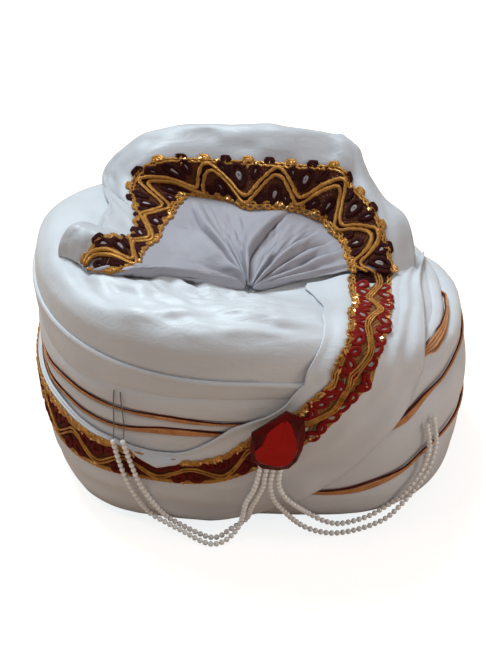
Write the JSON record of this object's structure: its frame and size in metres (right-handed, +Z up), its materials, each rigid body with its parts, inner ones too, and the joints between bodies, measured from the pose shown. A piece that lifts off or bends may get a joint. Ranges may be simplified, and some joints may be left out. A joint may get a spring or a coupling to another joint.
{
  "type": "tied turban pagri",
  "caption": "Ready-tied white satin turban with a gathered lace-edged fan, a crossing lace sash, a red stone brooch and bead strings.",
  "frame": {"origin": "centre of the whole object in plan, on the surface it rests on", "axes": "+Z up, -Y to the front where the stone is, +X to the viewer's right"},
  "size_m": [0.2577, 0.2816, 0.1739],
  "materials": {
    "satin": "white satin",
    "lining": "plain maroon cloth",
    "gold": "gold and maroon piping",
    "lace": "maroon lace with gold thread",
    "stone": "faceted red",
    "plate": "plain",
    "pearl": "pearl",
    "thread": "twisted thread"
  },
  "bodies": {
    "root": {"lining": "lining", "crown": "satin", "wrap_1": "satin", "wrap_2": "satin", "wrap_3": "satin", "wrap_4": "satin", "wrap_5": "satin", "trim_1": "gold", "trim_2": "gold", "trim_3": "gold", "sash": "satin", "lace_sash": "lace", "lace_wrap": "lace", "hood": "satin", "lace_hood": "lace", "brooch_back": "plate", "brooch_stone": "stone", "string_left_outer": "pearl", "string_left_inner": "pearl", "string_right_inner": "pearl", "string_right_outer": "pearl", "thread_left_outer": "thread", "thread_left_inner": "thread"}
  },
  "joints": []
}
